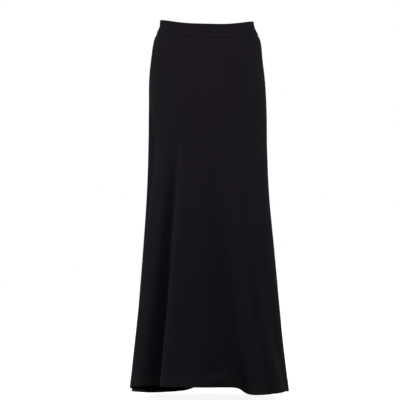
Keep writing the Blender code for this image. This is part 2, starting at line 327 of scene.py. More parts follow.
@dataclass(frozen=True)
class WornForm:
    """The outer face of the worn skirt, on which every piece of cloth is laid.

    A place on it is an angle in radians, counted as in Fold, and a share of a height. Drops
    are depths below the waist's middle.
    """

    band_height: float = 38 * MM
    seam_gap: float = 0.3 * MM
    side_drop: float = 0.998  # from the waist's middle to the hem at the right side, about
    front_dip: float = 14.5 * MM
    back_dip: float = 4 * MM
    side_tilt: float = 2 * MM  # the waist is this much higher at the left and lower at the right
    squareness: float = 2.2  # 2 makes the sections ellipses, and more makes them squarer
    slope_step: float = 0.003  # the step, as an angle or a share, that slopes are taken over
    sections: tuple[Section, ...] = SECTIONS
    folds: tuple[Fold, ...] = FOLDS
    creases: tuple[Crease, ...] = CREASES
    hem_levels: tuple[HemLevel, ...] = HEM_LEVELS

    @property
    def panel_length(self) -> float:
        """From the waist seam down to the hem at the right side."""
        return self.side_drop - self.band_height / 2

    def half_size(self, side: str, drops: Array) -> Array:
        """From the middle axis to the left, right, front or back of the skirt."""
        keys, sizes = np.array([(row.drop, getattr(row, side)) for row in self.sections]).T
        return smooth_curve(keys, sizes, drops)

    def radius(self, angles: Array, drops: Array) -> Array:
        """Distance from the middle axis to the smooth body of the skirt.

        Args:
            angles: places round the skirt.
            drops: places down it.

        Returns:
            The distances, before any fold.
        """
        x, y = np.cos(angles), np.sin(angles)
        wide = np.where(x > 0, self.half_size("right", drops), self.half_size("left", drops))
        deep = np.where(y > 0, self.half_size("back", drops), self.half_size("front", drops))
        total = np.abs(x / wide) ** self.squareness + np.abs(y / deep) ** self.squareness
        return total ** (-1 / self.squareness)

    def waist_level(self, angles: Array) -> Array:
        """Height of the band's middle, which dips at the front and a little at the back."""
        dip = np.where(np.sin(angles) < 0, self.front_dip, self.back_dip)
        return -dip * (1 - np.cos(angles) ** 4) - self.side_tilt * np.cos(angles)

    def hem_level(self, angles: Array) -> Array:
        """Height of the hem round the skirt."""
        rows = [(row.angle + lap, row.rise) for lap in (-360, 0, 360) for row in self.hem_levels]
        return smooth_curve(*np.array(rows).T, np.degrees(angles) % 360) - self.side_drop

    def fold_depth(self, fold: Fold, angles: Array, drops: Array) -> Array:
        """How far one fold moves the cloth outwards.

        Args:
            fold: the fold.
            angles: places round the skirt.
            drops: places down it.

        Returns:
            The distances outwards.
        """
        share = (drops - fold.full) / (self.side_drop - fold.full)
        growing = fold.full_depth * ease((drops - fold.start) / (fold.full - fold.start))
        grown = fold.full_depth + share * (fold.hem_depth - fold.full_depth)
        run = np.maximum(0.0, (drops - fold.start) / (self.side_drop - fold.start))
        centre = fold.top_angle + run**fold.lateness * (fold.hem_angle - fold.top_angle)
        past = degrees_past(angles, centre)
        width = np.where(past > 0, fold.after, fold.before)
        return np.where(share < 0, growing, grown) * (1 - ease(np.abs(past) / width))

    def crease_depth(self, crease: Crease, angles: Array, drops: Array, radii: Array) -> Array:
        """How far one crease moves the cloth outwards.

        Args:
            crease: the crease.
            angles: places round the skirt.
            drops: places down it.
            radii: distances from the middle axis at those places.

        Returns:
            The distances outwards.
        """
        sideways = np.radians(degrees_past(angles, crease.angle)) * radii
        down, lean = drops - crease.drop, math.radians(crease.lean)
        along = down * math.cos(lean) + sideways * math.sin(lean)
        across = sideways * math.cos(lean) - down * math.sin(lean)
        fade = 1 - ease(np.abs(along) / (crease.length / 2))
        reach = crease.width * np.where(across > 0, crease.upper, 1 - crease.upper)
        return crease.depth * fade * (1 - ease(np.abs(across) / reach))

    def body(self, angles: Array, drops: Array) -> Array:
        """The x and y of places on the smooth body of the skirt, before any fold."""
        headings = np.stack([np.cos(angles), np.sin(angles)], axis=-1)
        return self.radius(angles, drops)[..., None] * headings

    def outline(self, angles: Array, drops: Array) -> Array:
        """The skirt's outline seen from above, with its folds and creases.

        Args:
            angles: places round the skirt.
            drops: places down it.

        Returns:
            The x and y of each place.
        """
        here = self.body(angles, drops)
        along = self.body(angles + self.slope_step, drops) - here
        out = unit(np.stack([along[..., 1], -along[..., 0]], axis=-1))
        radii = np.linalg.norm(here, axis=-1)
        depth = sum(self.fold_depth(fold, angles, drops) for fold in self.folds)
        depth += sum(self.crease_depth(c, angles, drops, radii) for c in self.creases)
        return here + out * depth[..., None]

    def band_face(self, angles: Array, shares: Array) -> Array:
        """Points on the waistband, where share 0 is its top edge and 1 the waist seam."""
        drops = self.band_height * (shares - 0.5)
        return raised(self.outline(angles, drops), self.waist_level(angles) - drops)

    def panel_face(self, angles: Array, shares: Array) -> Array:
        """Points on the two panels.

        Args:
            angles: places round the skirt.
            shares: 0 at the waist seam, 1 at the hem.

        Returns:
            The points.
        """
        flat = self.outline(angles, self.band_height / 2 + shares * self.panel_length)
        top = self.waist_level(angles) - self.band_height / 2 - self.seam_gap
        return raised(flat, top + shares * (self.hem_level(angles) - top))

    def laid(self, face: Face, angles: Array, shares: Array, depths: Array) -> Array:
        """Points at a depth under a face.

        Args:
            face: band_face or panel_face.
            angles: places round the skirt.
            shares: places down the face.
            depths: distances inwards from the face.

        Returns:
            The points.
        """
        step = self.slope_step
        round_it = face(angles + step, shares) - face(angles - step, shares)
        down_it = face(angles, shares + step) - face(angles, shares - step)
        outwards = unit(np.cross(down_it, round_it))
        return face(angles, shares) - outwards * depths[..., None]

    def shared_angles(self, start: float, stop: float, count: int, ends: float) -> Array:
        """Angles that share out the hem evenly, closer where it turns sharply and at the ends.

        Args:
            start: the first angle.
            stop: the last angle.
            count: the number of steps between them.
            ends: the length of hem at either end where the steps are closer.

        Returns:
            The angles.
        """
        samples, turn_weight, crowding = 2400, 0.05, 4.0
        fine = np.linspace(start, stop, samples)
        steps = np.diff(self.outline(fine, np.full(samples, self.side_drop)), axis=0)
        lengths = np.linalg.norm(steps, axis=1)
        heading = np.unwrap(np.arctan2(steps[:, 1], steps[:, 0]))
        turned = np.abs(np.diff(heading, append=heading[-1]))
        along = np.cumsum(lengths)
        to_end = np.minimum(along, along[-1] - along)
        weight = lengths * (1 + crowding * (1 - ease(to_end / ends))) + turn_weight * turned
        totals = running_total(weight)
        return np.interp(np.linspace(0, totals[-1], count + 1), totals, fine)


# ---------------------------------------------------------------- materials
AddNode = Callable[..., Node]
MULTIPLY = {"operation": "MULTIPLY"}
MULTIPLY_ADD = {"operation": "MULTIPLY_ADD"}
PINGPONG = {"operation": "PINGPONG"}
LENGTH = {"operation": "LENGTH"}
SMOOTH = {"interpolation_type": "SMOOTHSTEP"}
OF_COLOURS = {"data_type": "RGBA"}


def linear(hex_colour: str) -> tuple[float, float, float, float]:
    """Turns an sRGB colour to the linear one that shaders take, by the standard's own curve.

    Args:
        hex_colour: six hexadecimal digits after a #.

    Returns:
        Red, green, blue and an alpha of 1.
    """
    channels = [int(hex_colour[n : n + 2], 16) / 255 for n in (1, 3, 5)]
    red, green, blue = (
        c / 12.92 if c <= 0.04045 else ((c + 0.055) / 1.055) ** 2.4 for c in channels
    )
    return red, green, blue, 1.0


def add_node(tree: NodeTree, kind: str, settings: dict | None = None, **inputs: object) -> Node:
    """Adds a node with its settings and its links.

    Args:
        tree: the node tree.
        kind: the node's type name, after its ShaderNode.
        settings: the node's own properties.
        inputs: its inputs by name, with _ for a space, or by number after an i. An output
            socket, or a node for its first output, is linked. Anything else is a value.

    Returns:
        The new node.
    """
    node = tree.nodes.new("ShaderNode" + kind)
    for name, value in (settings or {}).items():
        setattr(node, name, value)
    for name, value in inputs.items():
        numbered = name[0] == "i" and name[1:].isdigit()
        socket = node.inputs[int(name[1:]) if numbered else name.replace("_", " ")]
        source = value.outputs[0] if isinstance(value, Node) else value
        if isinstance(source, NodeSocket):
            tree.links.new(source, socket)
        else:
            socket.default_value = source
    return node


@dataclass(frozen=True)
class Finish:
    """What a surface is made of. Each kind of finish adds nodes of its own."""

    name: str

    def shader(self, add: AddNode) -> Node:
        """Adds the finish's nodes with add, which is add_node for its tree."""
        raise NotImplementedError

    def build(self) -> Material:
        """Makes the material.

        Returns:
            The material.
        """
        material = bpy.data.materials.new(self.name)
        material.use_nodes = True
        material.node_tree.nodes.clear()
        add = partial(add_node, material.node_tree)
        add("OutputMaterial", Surface=self.shader(add))
        return material


class KnitSide(Enum):
    """The two sides of a single jersey knit."""

    FACE = "face"
    REVERSE = "reverse"


@dataclass(frozen=True)
class JerseyFinish(Finish):
    """Cotton jersey with elastane, circular knitted and piece dyed black.

    The face shows upright columns of fine V stitches and the reverse shows rows of small arcs.
    To the eye that is a deep, matt black with a soft pale bloom only where it turns edge on.
    """

    side: KnitSide
    colour: str = "#18131b"
    worn_colour: str = "#1a151d"  # where the dye has taken a little less
    lint_colour: str = "#302e33"
    hem_painted_sheen_colour: str = "#1c181e"  # painted sheen: the turned-up hem is drawn a little paler
    bloom_colour: str = "#cfcbd6"
    wale_mm: float = 1.3  # real wales are 0.9 mm apart, drawn a little coarser to show
    course_mm: float = 1.0
    relief_mm: float = 0.12
    face_slant: float = 1.6  # how steeply a stitch's legs lie, in courses for each wale
    reverse_slant: float = 0.5
    cloud_mm: float = 45.0  # uneven dye
    slub_mm: float = 9.0  # uneven yarn
    slub_relief_mm: float = 0.5
    lint_mm: float = 1.6
    roughness: float = 0.88
    roughness_swing: float = 0.04
    sheen: float = 0.05
    hem_mm: float = HEM_MM
    hem_sheen_fade_mm: float = 2.0  # the painted sheen on the hem fades over this on either side of its edge
    stitch_row_mm: float = 28.5  # the blind hem's catches, above the fold of the hem
    stitch_step_mm: float = CATCH_MM
    dimple_mm: float = 2.2
    dimple_relief_mm: float = 0.4

    def knit_height(self, add: AddNode, across: NodeSocket, up: NodeSocket) -> Node:
        """Adds the stitches' relief.

        Args:
            add: adds a node to the material.
            across: metres across the cloth.
            up: metres up the cloth.

        Returns:
            The node that gives a height from 0 to 1.
        """
        wales = add("Math", MULTIPLY, i0=across, i1=1 / (self.wale_mm * MM))
        courses = add("Math", MULTIPLY, i0=up, i1=1 / (self.course_mm * MM))
        leg = add("Math", PINGPONG, i0=wales, i1=0.5)
        slant = self.face_slant if self.side is KnitSide.FACE else self.reverse_slant
        tilted = add("Math", MULTIPLY_ADD, i0=leg, i1=slant, i2=courses)
        loops = add("Math", PINGPONG, i0=tilted, i1=0.5)
        if self.side is KnitSide.REVERSE:
            return add("Math", MULTIPLY, i0=loops, i1=2.0)
        turn = add("Math", MULTIPLY, i0=leg, i1=math.tau)
        yarn = add("Math", {"operation": "SINE"}, i0=turn)
        lifted = add("Math", MULTIPLY_ADD, i0=loops, i1=1.0, i2=0.5)
        return add("Math", MULTIPLY, i0=yarn, i1=lifted)

    def hem_dimples(self, add: AddNode, across: NodeSocket, up: NodeSocket) -> Node:
        """Adds the small dimples where the blind hem's thread catches the face.

        Args:
            add: adds a node to the material.
            across: metres across the cloth.
            up: metres up from the hem.

        Returns:
            The node that gives 1 in the middle of a dimple and 0 away from it.
        """
        aside = add("Math", PINGPONG, i0=across, i1=self.stitch_step_mm * MM / 2)
        above = add("Math", {"operation": "SUBTRACT"}, i0=up, i1=self.stitch_row_mm * MM)
        far = add("VectorMath", LENGTH, i0=add("CombineXYZ", X=aside, Y=above)).outputs["Value"]
        reach = self.dimple_mm * MM
        return add("MapRange", SMOOTH, Value=far, From_Min=0.0, From_Max=reach, To_Min=1.0, To_Max=0.0)

    def cloth_colour(self, add: AddNode, clouds: Node, lint: Node, up: NodeSocket) -> NodeSocket:
        """Adds the colour: dyed a little unevenly, with a painted sheen that draws the turned-up hem
        paler, and some lint.

        Args:
            add: adds a node to the material.
            clouds: the noise of the uneven dye.
            lint: the noise of the lint.
            up: metres up from the hem.

        Returns:
            The colour.
        """
        edge, fade = self.hem_mm * MM, self.hem_sheen_fade_mm * MM
        from_fold = add("Math", {"operation": "ABSOLUTE"}, i0=up)
        hem_painted_sheen_share = add("MapRange", SMOOTH, Value=from_fold, From_Min=edge + fade, From_Max=edge - fade)
        specks = add("MapRange", Value=lint, From_Min=0.70, From_Max=0.80, To_Min=0.0, To_Max=0.5)
        # the hem coat is a painted sheen, which draws the turned-up hem a little paler
        coats = (
            (clouds, self.worn_colour),
            (hem_painted_sheen_share, self.hem_painted_sheen_colour),
            (specks, self.lint_colour),
        )
        coloured = linear(self.colour)
        for share, colour in coats:
            mixed = add("Mix", OF_COLOURS, Factor=share, i6=coloured, i7=linear(colour))
            coloured = mixed.outputs[2]
        return coloured

    def shader(self, add: AddNode) -> Node:
        """Adds the cloth's colour, knit, slubs and dimples.

        Args:
            add: adds a node to the material.

        Returns:
            The shader.
        """
        on_cloth = add("SeparateXYZ", Vector=add("UVMap", {"uv_map": CLOTH_UV}))
        across, up = on_cloth.outputs["X"], on_cloth.outputs["Y"]
        place = add("TexCoord").outputs["Object"]
        cloud_scale, lint_scale, slub_scale = (
            1 / (size * MM) for size in (self.cloud_mm, self.lint_mm, self.slub_mm)
        )
        clouds = add("TexNoise", Vector=place, Scale=cloud_scale, Detail=3.0, Roughness=0.55)
        lint = add("TexNoise", Vector=place, Scale=lint_scale, Detail=1.0)
        slubs = add("TexNoise", Vector=place, Scale=slub_scale, Detail=2.0)
        stitches = self.knit_height(add, across, up)
        relief = add("Bump", Strength=0.6, Distance=self.relief_mm * MM, Height=stitches)
        deep = self.slub_relief_mm * MM
        relief = add("Bump", Strength=0.35, Distance=deep, Height=slubs, Normal=relief)
        if self.side is KnitSide.FACE:
            dimples, deep = self.hem_dimples(add, across, up), self.dimple_relief_mm * MM
            inwards = {"invert": True}
            relief = add("Bump", inwards, Strength=0.8, Distance=deep, Height=dimples, Normal=relief)
        smoothest, roughest = (self.roughness + n * self.roughness_swing for n in (-1, 1))
        return add(
            "BsdfPrincipled",
            Base_Color=self.cloth_colour(add, clouds, lint, up),
            Roughness=add("MapRange", Value=clouds, To_Min=smoothest, To_Max=roughest),
            Normal=relief,
            IOR=1.47,
            Specular_IOR_Level=0.15,
            Sheen_Weight=self.sheen,
            Sheen_Roughness=0.35,
            Sheen_Tint=linear(self.bloom_colour),
        )


@dataclass(frozen=True)
class ThreadFinish(Finish):
    """Spun polyester sewing thread, twisted from staple and dyed black.

    It is a little smoother than the cloth, so that stitches read as fine glinting lines.
    """

    name: str = "spun_polyester_thread"
    colour: str = "#201e22"
    twist_mm: float = 0.5
    fuzz_mm: float = 0.05
    roughness: float = 0.6

    def shader(self, add: AddNode) -> Node:
        """Adds the thread's colour and fuzz.

        Args:
            add: adds a node to the material.

        Returns:
            The shader.
        """
        place = add("TexCoord").outputs["Object"]
        twist = add("TexNoise", Vector=place, Scale=1 / (self.twist_mm * MM), Detail=1.0)
        return add(
            "BsdfPrincipled",
            Base_Color=linear(self.colour),
            Roughness=self.roughness,
            Normal=add("Bump", Strength=0.5, Distance=self.fuzz_mm * MM, Height=twist),
            Specular_IOR_Level=0.3,
        )


@dataclass(frozen=True)
class StudioFloorFinish(Finish):
    """Matt white vinyl studio floor that shows near white and takes a soft shadow.

    Its glow shows the eye what a lit studio floor shows, and throws no light on the cloth.
    """

    name: str = "matt_white_vinyl"
    colour: str = "#c4c4c4"
    # painted light: the glow that only the camera sees, a little weaker near the skirt so that its
    # real shadow shows
    near_glow: float = 0.9
    far_glow: float = 1.0
    near: float = 0.35
    far: float = 2.2

    def shader(self, add: AddNode) -> Node:
        """Adds the vinyl's colour, and the glow that only the camera sees.

        Args:
            add: adds a node to the material.

        Returns:
            The shader.
        """
        place = add("TexCoord").outputs["Object"]
        out = add("VectorMath", MULTIPLY, i0=place, i1=(1, 1, 0))
        glow = add(
            "MapRange",
            SMOOTH,
            Value=add("VectorMath", LENGTH, i0=out).outputs["Value"],
            From_Min=self.near,
            From_Max=self.far,
            To_Min=self.near_glow,
            To_Max=self.far_glow,
        )
        seen = add("LightPath").outputs["Is Camera Ray"]
        return add(
            "BsdfPrincipled",
            Base_Color=linear(self.colour),
            Roughness=0.9,
            Specular_IOR_Level=0.0,
            Emission_Color=linear("#ffffff"),
            Emission_Strength=add("Math", MULTIPLY, i0=glow, i1=seen),
        )


@dataclass(frozen=True)
class Finishes:
    """The materials of the whole skirt."""

    face: Material
    reverse: Material
    thread: Material

    @classmethod
    def build(cls) -> "Finishes":
        """Makes every material once."""
        jerseys = (JerseyFinish(f"cotton_jersey_{side.value}", side).build() for side in KnitSide)
        return cls(*jerseys, ThreadFinish().build())


# ---------------------------------------------------------------- shared making of pieces
class Looks(Enum):
    """Which way the face of a sheet looks where it is furthest from the wearer."""

    OUT = 1
    IN = -1


def put(name: str, data: bpy.types.ID) -> Object:
    """Puts a mesh, curve, light or camera into the scene.

    Args:
        name: the new object's name.
        data: what it shows.

    Returns:
        The object, which sits at the origin.
    """
    item = bpy.data.objects.new(name, data)
    bpy.context.scene.collection.objects.link(item)
    return item


def put_mesh(name: str, shape: bmesh.types.BMesh) -> Object:
    """Puts a finished bmesh into the scene.

    Args:
        name: the new object's name.
        shape: the bmesh, which is freed.

    Returns:
        The object, which sits at the origin.
    """
    data = bpy.data.meshes.new(name)
    shape.to_mesh(data)
    shape.free()
    return put(name, data)


@dataclass(frozen=True)
class Sheet:
    """A sheet of cloth as a flat grid, and how its corners are laid in place.

    columns holds each column's place round the skirt. rows holds each row's height, its depth
    and its metres up the flat cloth. points lays corners by their places, heights and depths,
    and across gives their metres across the flat cloth from their places and heights.
    """

    columns: Array
    rows: Array
    points: Callable[[Array, Array, Array], Array]
    across: Callable[[Array, Array], Array]
    wall: float
    face: Material
    reverse: Material  # of its back and of its cut edges
    looks: Looks = Looks.OUT

    def build(self, name: str) -> Object:
        """Makes the sheet and its wall, with the flat cloth as its UV map.

        Args:
            name: the piece's name.

        Returns:
            The piece.
        """
        last_column, last_row = len(self.columns) - 1, len(self.rows) - 1
        shape = bmesh.new()
        bmesh.ops.create_grid(shape, x_segments=last_column, y_segments=last_row, size=0.5)
        flat = np.array([corner.co[:2] for corner in shape.verts]) + 0.5
        column, row = np.rint(flat * (last_column, last_row)).astype(int).T
        places, (heights, depths, up) = self.columns[column], self.rows[last_row - row].T
        across = self.across(places, heights)
        for corner, point in zip(shape.verts, self.points(places, heights, depths)):
            corner.co = point
        cloth_map = shape.loops.layers.uv.new(CLOTH_UV)
        shape.verts.index_update()
        for face in shape.faces:
            face.smooth = True
            for loop in face.loops:
                n = loop.vert.index
                loop[cloth_map].uv = (across[n], up[n])
        shape.normal_update()
        outer = max(shape.faces, key=lambda face: face.calc_center_median().xy.length)
        if outer.normal.xy.dot(outer.calc_center_median().xy) * self.looks.value < 0:
            bmesh.ops.reverse_faces(shape, faces=shape.faces)
        piece = put_mesh(name, shape)
        piece.data.materials.append(self.face)
        piece.data.materials.append(self.reverse)
        solidify = piece.modifiers.new("wall", "SOLIDIFY")
        solidify.thickness = self.wall
        solidify.offset = -1.0
        solidify.material_offset = 1
        solidify.material_offset_rim = 1
        return piece


def thread_object(name: str, paths: list[Array], thickness: float, material: Material) -> Object:
    """Makes lengths of sewing thread.

    Args:
        name: the piece's name.
        paths: the points that each length of thread follows.
        thickness: the thread's diameter.
        material: its material.

    Returns:
        The threads as one mesh.
    """
    curve = bpy.data.curves.new(name, "CURVE")
    curve.dimensions = "3D"
    curve.bevel_depth = thickness / 2
    curve.bevel_resolution = 0
    curve.use_fill_caps = True
    for path in paths:
        spline = curve.splines.new("POLY")
        spline.points.add(len(path) - 1)
        spline.points.foreach_set("co", np.column_stack([path, np.ones(len(path))]).ravel())
    drawn = put(name + "_path", curve)
    shown = drawn.evaluated_get(bpy.context.evaluated_depsgraph_get())
    data = bpy.data.meshes.new_from_object(shown)
    bpy.data.objects.remove(drawn)
    data.name = name
    data.shade_smooth()
    data.materials.clear()
    data.materials.append(material)
    return put(name, data)


# ---------------------------------------------------------------- the sewing
@dataclass(frozen=True)
class Sewing:
    """The skirt's seams: how they press the cloth in, and where their edges lie inside."""

    form: WornForm
    wall: float = 1.2 * MM
    ditch_depth: float = 0.8 * MM
    ditch_width: float = 3.0 * MM
    waist_press: float = 1.6  # the waist seam is pressed in this many times as deep
    pucker: float = 0.25 * MM  # a seam's thread is a little tighter than its cloth
    pucker_length: float = 17 * MM
    pucker_reach: float = 16 * MM
    turn_space: float = 0.4 * MM  # between the cloth and its turned-up hem
    hem_turn: float = HEM_MM * MM
    hem_spring: float = 0.3 * MM  # the doubled hem stands out a little
    hem_spring_fade: float = 4 * MM
    stand_off: float = 0.8 * MM  # soft cloth stands a little off the stiff form
    allowance: float = 8 * MM
    allowance_wall: float = 1.9 * MM  # two layers, flattened by the thread
    clearance: float = 0.15 * MM

    @property
    def turn_radius(self) -> float:
        """Of the cloth's face where it turns up at the hem."""
        return self.wall + self.turn_space / 2

    def ditch(self, away: Array) -> Array:
        """Depth of a pressed-in seam at distances away from it."""
        return self.ditch_depth * (1 - ease(away / self.ditch_width))

    def puckers(self, away: Array, along: Array) -> Array:
        """Depths inwards of the small waves at distances away from a seam and along it."""
        waves = uneven_waves(along, self.pucker_length, shift=1.0)
        return self.pucker * waves * (1 - ease(away / self.pucker_reach))

    def radii(self, angles: Array, heights: Array) -> Array:
        """Distances from the middle axis to places on the panels, by heights above the hem."""
        return self.form.radius(angles, self.form.side_drop - heights)

    def pressed(self, angles: Array, heights: Array) -> Array:
        """How deep the panels' cloth lies behind the worn form.

        Args:
            angles: places round the skirt.
            heights: places up from the hem, in metres.

        Returns:
            The depths inwards.
        """
        down, radii = self.form.panel_length - heights, self.radii(angles, heights)
        past_seam = np.mod(angles, math.pi)
        aside = np.minimum(past_seam, math.pi - past_seam) * radii
        at_sides = self.ditch(aside) + self.puckers(aside, down)
        at_waist = self.waist_press * self.ditch(down) + self.puckers(down, angles * radii)
        above_turn = heights - self.hem_turn
        at_hem = self.hem_spring * (1 - ease(above_turn / self.hem_spring_fade))
        return at_sides + at_waist - at_hem - self.stand_off

    def under_panels(self, angles: Array, heights: Array, depths: Array) -> Array:
        """Points behind the panels' pressed cloth.

        Args:
            angles: places round the skirt.
            heights: places up from the hem, in metres.
            depths: distances inwards from the cloth's face.

        Returns:
            The points.
        """
        shares = 1 - heights / self.form.panel_length
        depths = depths + self.pressed(angles, heights)
        return self.form.laid(self.form.panel_face, angles, shares, depths)


class Side(Enum):
    """The two panels, by the angles of the side seams that they run between."""

    FRONT = (math.pi, math.tau)
    BACK = (0.0, math.pi)


@dataclass(frozen=True)
class Panel:
    """The front or the back of the skirt, with its hem turned up inside."""

    sewing: Sewing
    finishes: Finishes
    side: Side
    columns: int = 176
    crowded_end: float = 12 * MM
    seam_zone: float = 5 * MM  # rows lie closer in this much of the cloth below the seam
    hem_zone: float = 46 * MM  # and closer again from this height above the hem
    hem_end: float = 20 * MM  # down to this one

    def angles(self) -> Array:
        """Shares out the columns between the side seams.

        Returns:
            Their angles.
        """
        form, (start, stop) = self.sewing.form, self.side.value
        half_gap = form.seam_gap / 2 / form.radius(np.array([start]), np.zeros(1))[0]
        ends = (start + half_gap, stop - half_gap)
        return form.shared_angles(*ends, self.columns, self.crowded_end)

    def rows(self) -> Array:
        """The cloth's way down from the waist seam, round its hem and up inside.

        Returns:
            For each row its height above the hem, its depth behind the cloth's face and its
            metres up the flat cloth.
        """
        length, turn = self.sewing.form.panel_length, self.sewing.turn_radius
        down = join_spans(
            (length, length - self.seam_zone, 7),
            (length - self.seam_zone, self.hem_zone, 140),
            (self.hem_zone, self.hem_end, 22),
            (self.hem_end, turn, 8),
        )
        round_it = np.linspace(0, math.pi, 9)[1:-1]
        up = np.linspace(turn, self.sewing.hem_turn, 8)
        heights = np.concatenate([down, turn * (1 - np.sin(round_it)), up])
        depths = np.concatenate([0 * down, turn * (1 - np.cos(round_it)), 0 * up + 2 * turn])
        passed = running_total(np.hypot(np.diff(heights), np.diff(depths)))
        return np.column_stack([heights, depths, passed[np.argmin(heights)] - passed])

    def across(self, angles: Array, heights: Array) -> Array:
        """Metres across the flat cloth from its middle."""
        return (angles - sum(self.side.value) / 2) * self.sewing.radii(angles, heights)

    def build(self) -> Object:
        """Makes the panel.

        Returns:
            The piece.
        """
        sheet = Sheet(
            columns=self.angles(),
            rows=self.rows(),
            points=self.sewing.under_panels,
            across=self.across,
            wall=self.sewing.wall,
            face=self.finishes.face,
            reverse=self.finishes.reverse,
        )
        return sheet.build(f"{self.side.name.lower()}_cloth")


@dataclass(frozen=True)
class Waistband:
    """The waistband: a strip folded double, with room for its elastic, and sewn to the panels."""

    sewing: Sewing
    finishes: Finishes
    join_angle: float = math.pi / 2  # the strip's ends meet at the middle of the back
    join_press: float = 0.6  # the join is pressed in by this share of a side seam's depth
    thick: float = 3.0 * MM
    wall: float = 1.1 * MM
    proud: float = 1.1 * MM  # its face stands out from the worn form by this
    plump: float = 0.5 * MM  # and by this much more half way up
    inner_step: float = 2.7 * MM  # the inner layer clears the seam's other layers
    ripple: float = 0.12 * MM  # the stretched elastic pulls the cloth a little unevenly
    ripple_length: float = 11 * MM
    columns: int = 260
    outer_zone: float = 5 * MM  # rows lie closer up to this height, outside
    inner_zone: float = 4 * MM  # and up to this one, inside

    def angles(self) -> Array:
        """Shares out the columns from one side of the join, all round, to its other side.

        Returns:
            Their angles.
        """
        at_join = self.sewing.form.radius(np.array([self.join_angle]), np.zeros(1))[0]
        gap = self.sewing.form.seam_gap / 4 / at_join
        return self.join_angle + np.linspace(gap, math.tau - gap, self.columns + 1)

    def rows(self) -> Array:
        """The strip's way up from the waist seam, over the top and down inside.

        Returns:
            For each row its height above the seam, its depth behind the worn form and its
            metres up the flat cloth.
        """
        sewing, fold, step_at = self.sewing, self.thick / 2, self.inner_zone
        top = sewing.form.band_height - fold
        outer = join_spans((0.0, self.outer_zone, 8), (self.outer_zone, top, 16))
        round_it = np.linspace(0, math.pi, 11)[1:-1]
        inner = join_spans((top, step_at, 14), (step_at, -sewing.allowance, 8))
        outer_plump, inner_plump = (
            self.plump * np.sin(math.pi * np.clip(up / top, 0, 1)) for up in (outer, inner)
        )
        outer_depths = sewing.waist_press * sewing.ditch(outer) - self.proud - outer_plump
        over_depths = fold * (1 - np.cos(round_it)) - self.proud
        inner_depths = self.thick - self.proud + inner_plump
        inner_depths += self.inner_step * (1 - ease((inner + step_at) / (2 * step_at)))
        heights = np.concatenate([outer, top + fold * np.sin(round_it), inner])
        depths = np.concatenate([outer_depths, over_depths, inner_depths])
        passed = running_total(np.hypot(np.diff(heights), np.diff(depths)))
        return np.column_stack([heights, depths, sewing.form.panel_length + passed])

    def points(self, angles: Array, heights: Array, depths: Array) -> Array:
        """Points of the band.

        Args:
            angles: places round the skirt.
            heights: places up from the waist seam, in metres.
            depths: distances inwards from the worn form.

        Returns:
            The points.
        """
        form = self.sewing.form
        radii = form.radius(angles, np.zeros_like(angles))
        turned = np.mod(angles - self.join_angle, math.tau)
        to_join = np.minimum(turned, math.tau - turned) * radii
        waves = self.ripple * uneven_waves(angles * radii.mean(), self.ripple_length, shift=2.0)
        depths = depths + waves + self.join_press * self.sewing.ditch(to_join)
        return form.laid(form.band_face, angles, 1 - heights / form.band_height, depths)

    def across(self, angles: Array, heights: Array) -> Array:
        """Metres across the flat cloth from its middle."""
        past_middle = angles - (self.join_angle + math.pi)
        return past_middle * self.sewing.form.radius(angles, 0 * heights)

    def build(self) -> Object:
        """Makes the band.

        Returns:
            The piece.
        """
        sheet = Sheet(
            columns=self.angles(),
            rows=self.rows(),
            points=self.points,
            across=self.across,
            wall=self.wall,
            face=self.finishes.face,
            reverse=self.finishes.reverse,
        )
        return sheet.build("band_cloth")


@dataclass(frozen=True)
class Overlock:
    """A three-thread overlock stitch that wraps the cut edges of a seam."""

    material: Material
    bite: float = 4.5 * MM  # from the cut edge to the needle
    step: float = 2.4 * MM  # from one stitch to the next
    thread: float = 0.32 * MM
    probe: float = 1 * MM  # a point this far off the cloth shows which way is out
    needle_high: float = 2.2  # a needle stitch rises to this many radii of its thread
    needle_low: float = 0.4  # and sinks to this many

    def sew(self, name: str, edge_at: Callable[[float, float], Array]) -> Object:
        """Sews the stitch along a cut edge.

        Args:
            name: the piece's name.
            edge_at: gives points along the edge, a distance in from it and one off the cloth.

        Returns:
            The looper thread, the chain along the edge and the needle thread, as one piece.
        """
        edge, needle = edge_at(0.0, 0.0), edge_at(self.bite, 0.0)
        lift = unit(edge_at(0.0, self.probe) - edge)
        at = stations_along(edge, self.step / 2)
        edge, needle, lift = (between(rows, at) for rows in (edge, needle, lift))
        over_edge = edge + unit(edge - needle) * self.thread / 2
        odd = (np.arange(len(at)) % 2 == 1)[:, None]
        above = lift * self.thread / 2
        looper = np.where(odd, over_edge, needle) + above
        chain = over_edge + np.where(odd, 1, -1) * above
        stitches = needle + np.where(odd, self.needle_high, self.needle_low) * above
        return thread_object(name, [looper, chain, stitches], self.thread, self.material)


